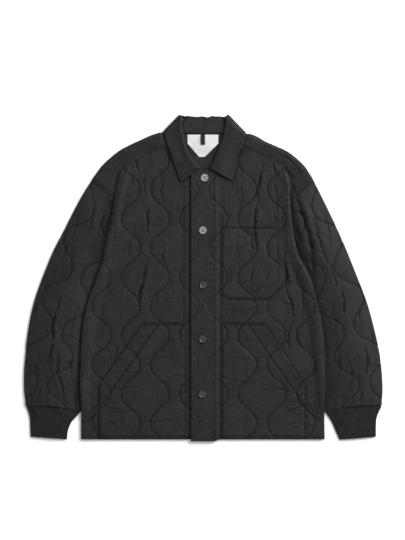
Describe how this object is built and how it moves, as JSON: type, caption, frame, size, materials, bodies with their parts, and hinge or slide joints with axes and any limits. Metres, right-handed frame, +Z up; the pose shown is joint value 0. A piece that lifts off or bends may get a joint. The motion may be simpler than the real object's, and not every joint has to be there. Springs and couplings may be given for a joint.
{
  "type": "quilted jacket",
  "caption": "Charcoal quilted jacket laid flat, buttoned, with a turned-down collar, plain shoulder yokes, slanted patch pockets, a chest pocket and rib-knit cuffs.",
  "frame": {"origin": "centre of the object's box in X and Y, on the surface that it lies on", "axes": "+X across the jacket, towards the front that laps over; +Y from hem to collar; +Z up, away from the surface"},
  "size_m": [0.8599, 0.783, 0.0148],
  "materials": {
    "quilted_cloth": "plain-woven charcoal cloth, wave quilted, matt with a faint sheen",
    "plain_cloth": "the same charcoal cloth, unquilted",
    "rib_knit": "fine matt rib knit, a little darker",
    "white_patch": "plain white cloth, left bare",
    "pale_horn": "polished pale horn-like button",
    "grey_horn": "polished dark horn-like button"
  },
  "bodies": {
    "root": {"back": "quilted_cloth", "front_left": "quilted_cloth", "front_right": "quilted_cloth", "yoke_left": "plain_cloth", "yoke_right": "plain_cloth", "sleeve_left": "quilted_cloth", "sleeve_right": "quilted_cloth", "cuff_left": "rib_knit", "cuff_right": "rib_knit", "collar_fall": "plain_cloth", "collar_stand": "plain_cloth", "pocket_left": "quilted_cloth", "pocket_right": "quilted_cloth", "chest_pocket": "quilted_cloth", "neck_patch": "white_patch", "hanger_loop": "plain_cloth", "button_1": "pale_horn", "button_2": "pale_horn", "button_3": "grey_horn", "button_4": "grey_horn", "button_5": "grey_horn"}
  },
  "joints": []
}
